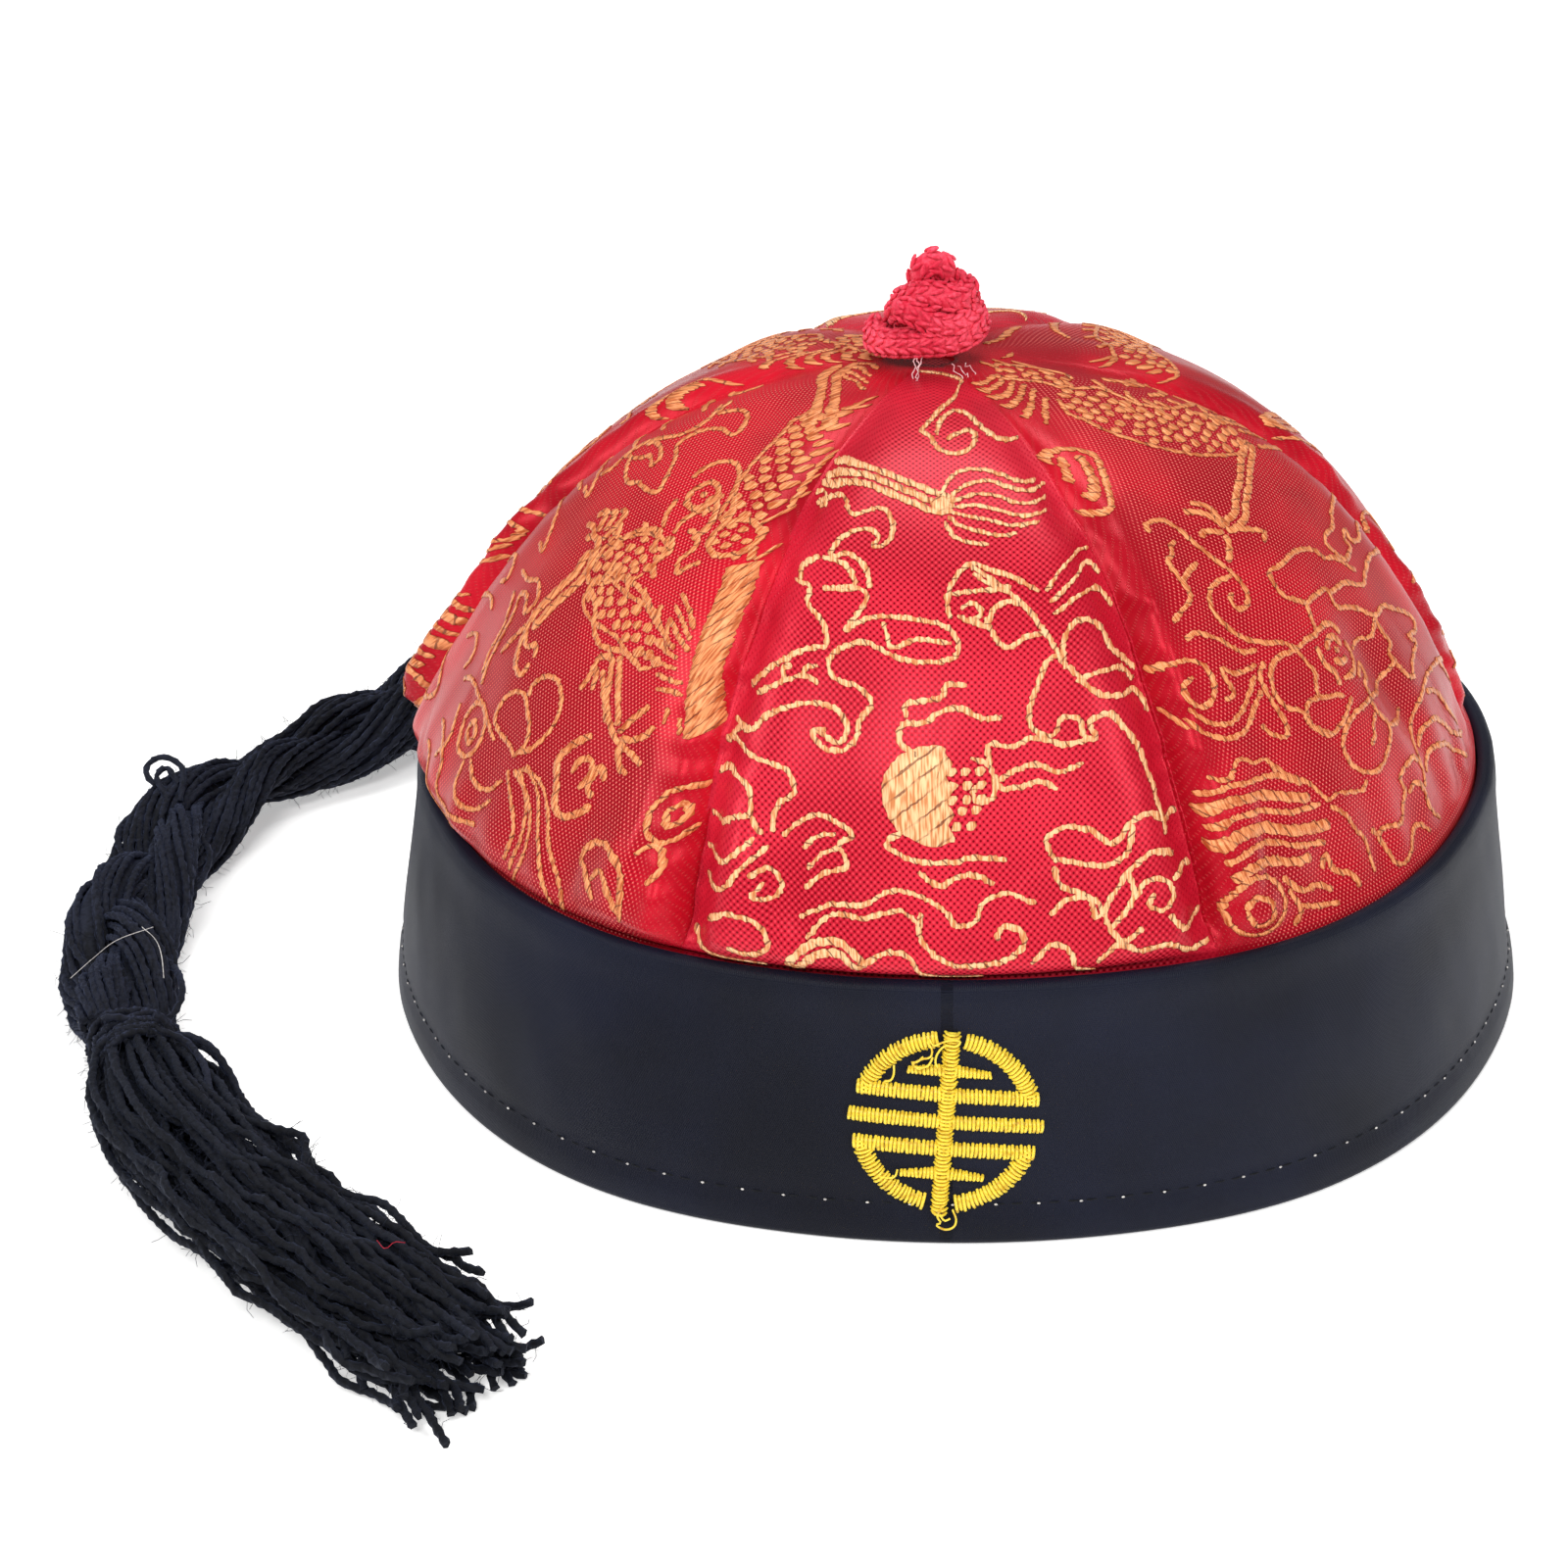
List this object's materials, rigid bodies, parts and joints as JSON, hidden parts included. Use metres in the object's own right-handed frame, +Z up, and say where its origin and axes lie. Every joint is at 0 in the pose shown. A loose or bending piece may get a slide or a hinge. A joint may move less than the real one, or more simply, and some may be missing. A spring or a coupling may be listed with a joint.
{
  "type": "brocade skullcap with a yarn queue",
  "caption": "Gored brocade skullcap with a satin band, an embroidered roundel, a knotted cord button and a plaited yarn queue ending in a tassel.",
  "frame": {"origin": "centre of the cap's footprint, on the surface that its rim rests on", "axes": "+Z up through the crown; -Y to the front, where the roundel is; +X to the right as seen from the front"},
  "size_m": [0.2453, 0.2584, 0.1274],
  "materials": {
    "band_satin": "blue-black satin over a stiff strip, soft sheen",
    "gold_embroidery": "yellow-gold satin stitch in rayon thread",
    "brocade": "crimson satin brocade with woven orange-gold figures",
    "knitted_cord": "crimson knitted cord, matt",
    "yarn": "black two-ply acrylic yarn, matt and slightly hairy"
  },
  "bodies": {
    "root": {"band": "band_satin", "roundel": "gold_embroidery", "gore_front": "brocade", "gore_front_right": "brocade", "gore_back_right": "brocade", "gore_back": "brocade", "gore_back_left": "brocade", "gore_front_left": "brocade", "button_knot": "knitted_cord", "queue_strand_1": "yarn", "queue_strand_2": "yarn", "queue_strand_3": "yarn", "queue_binding": "yarn", "queue_tassel": "yarn"}
  },
  "joints": []
}
